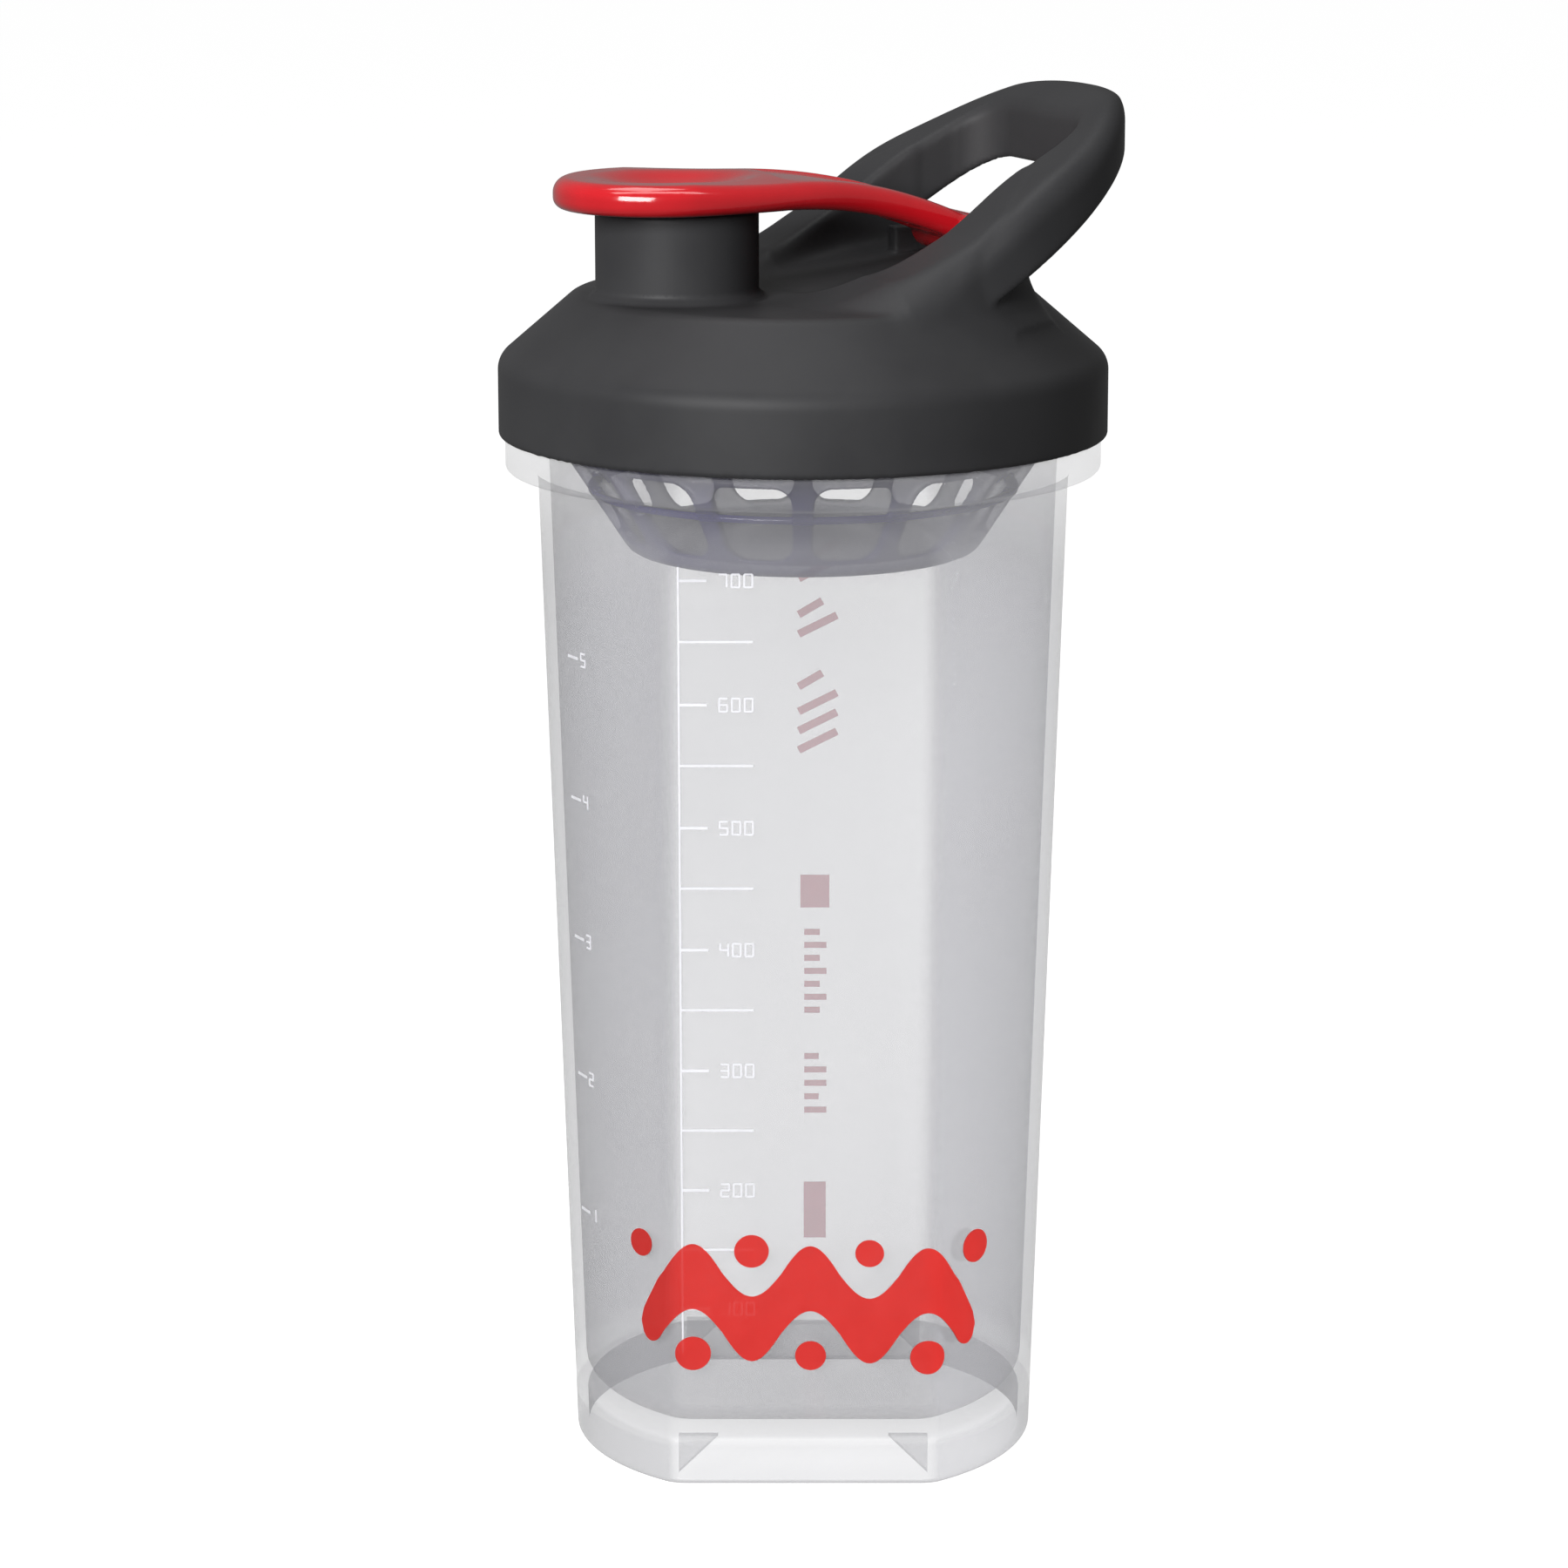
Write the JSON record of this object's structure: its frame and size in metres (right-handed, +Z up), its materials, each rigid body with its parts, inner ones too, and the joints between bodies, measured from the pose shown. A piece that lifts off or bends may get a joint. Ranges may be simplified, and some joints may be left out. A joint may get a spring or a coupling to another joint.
{
  "type": "protein shaker bottle",
  "caption": "Clear shaker bottle with two flat sides, hanging mixer basket, black screw lid with spout and sloping carry loop, and a red flip cap on a hinge pin.",
  "frame": {"origin": "centre of the bottle's foot, on the plane it stands on", "axes": "+Z up along the bottle's axis, +X towards the carry loop, -X towards the spout, the hinge pin along Y"},
  "size_m": [0.1062, 0.1028, 0.2333],
  "materials": {
    "bottle_clear": "clear, slightly milky",
    "basket_smoke": "clear smoky violet",
    "lid_black": "satin",
    "cap_red": "gloss",
    "seal_rubber": "matte",
    "pin_steel": "brushed"
  },
  "bodies": {
    "bottle": {"bottle_body": "bottle_clear"},
    "basket": {"mixer_basket": "basket_smoke"},
    "lid": {"lid_shell": "lid_black", "lid_gasket": "seal_rubber", "hinge_pin": "pin_steel"},
    "cap": {"flip_cap": "cap_red", "spout_plug": "seal_rubber"}
  },
  "joints": [
    {"name": "lid_lift", "type": "slide", "parent": "bottle", "child": "basket", "axis": [0, 0, 1], "range_m": [0, 0.009]},
    {"name": "lid_turn", "type": "hinge", "parent": "basket", "child": "lid", "pos_m": [0, 0, 0.182], "axis": [0, 0, 1], "range_deg": [0, 540]},
    {"name": "cap_hinge", "type": "hinge", "parent": "lid", "child": "cap", "pos_m": [0.028, 0, 0.2087], "axis": [0, 1, 0], "range_deg": [0, 100]}
  ],
  "couplings": [
    {"joint": "lid_turn", "follows": "lid_lift", "rad_per_m": 1047.1}
  ]
}
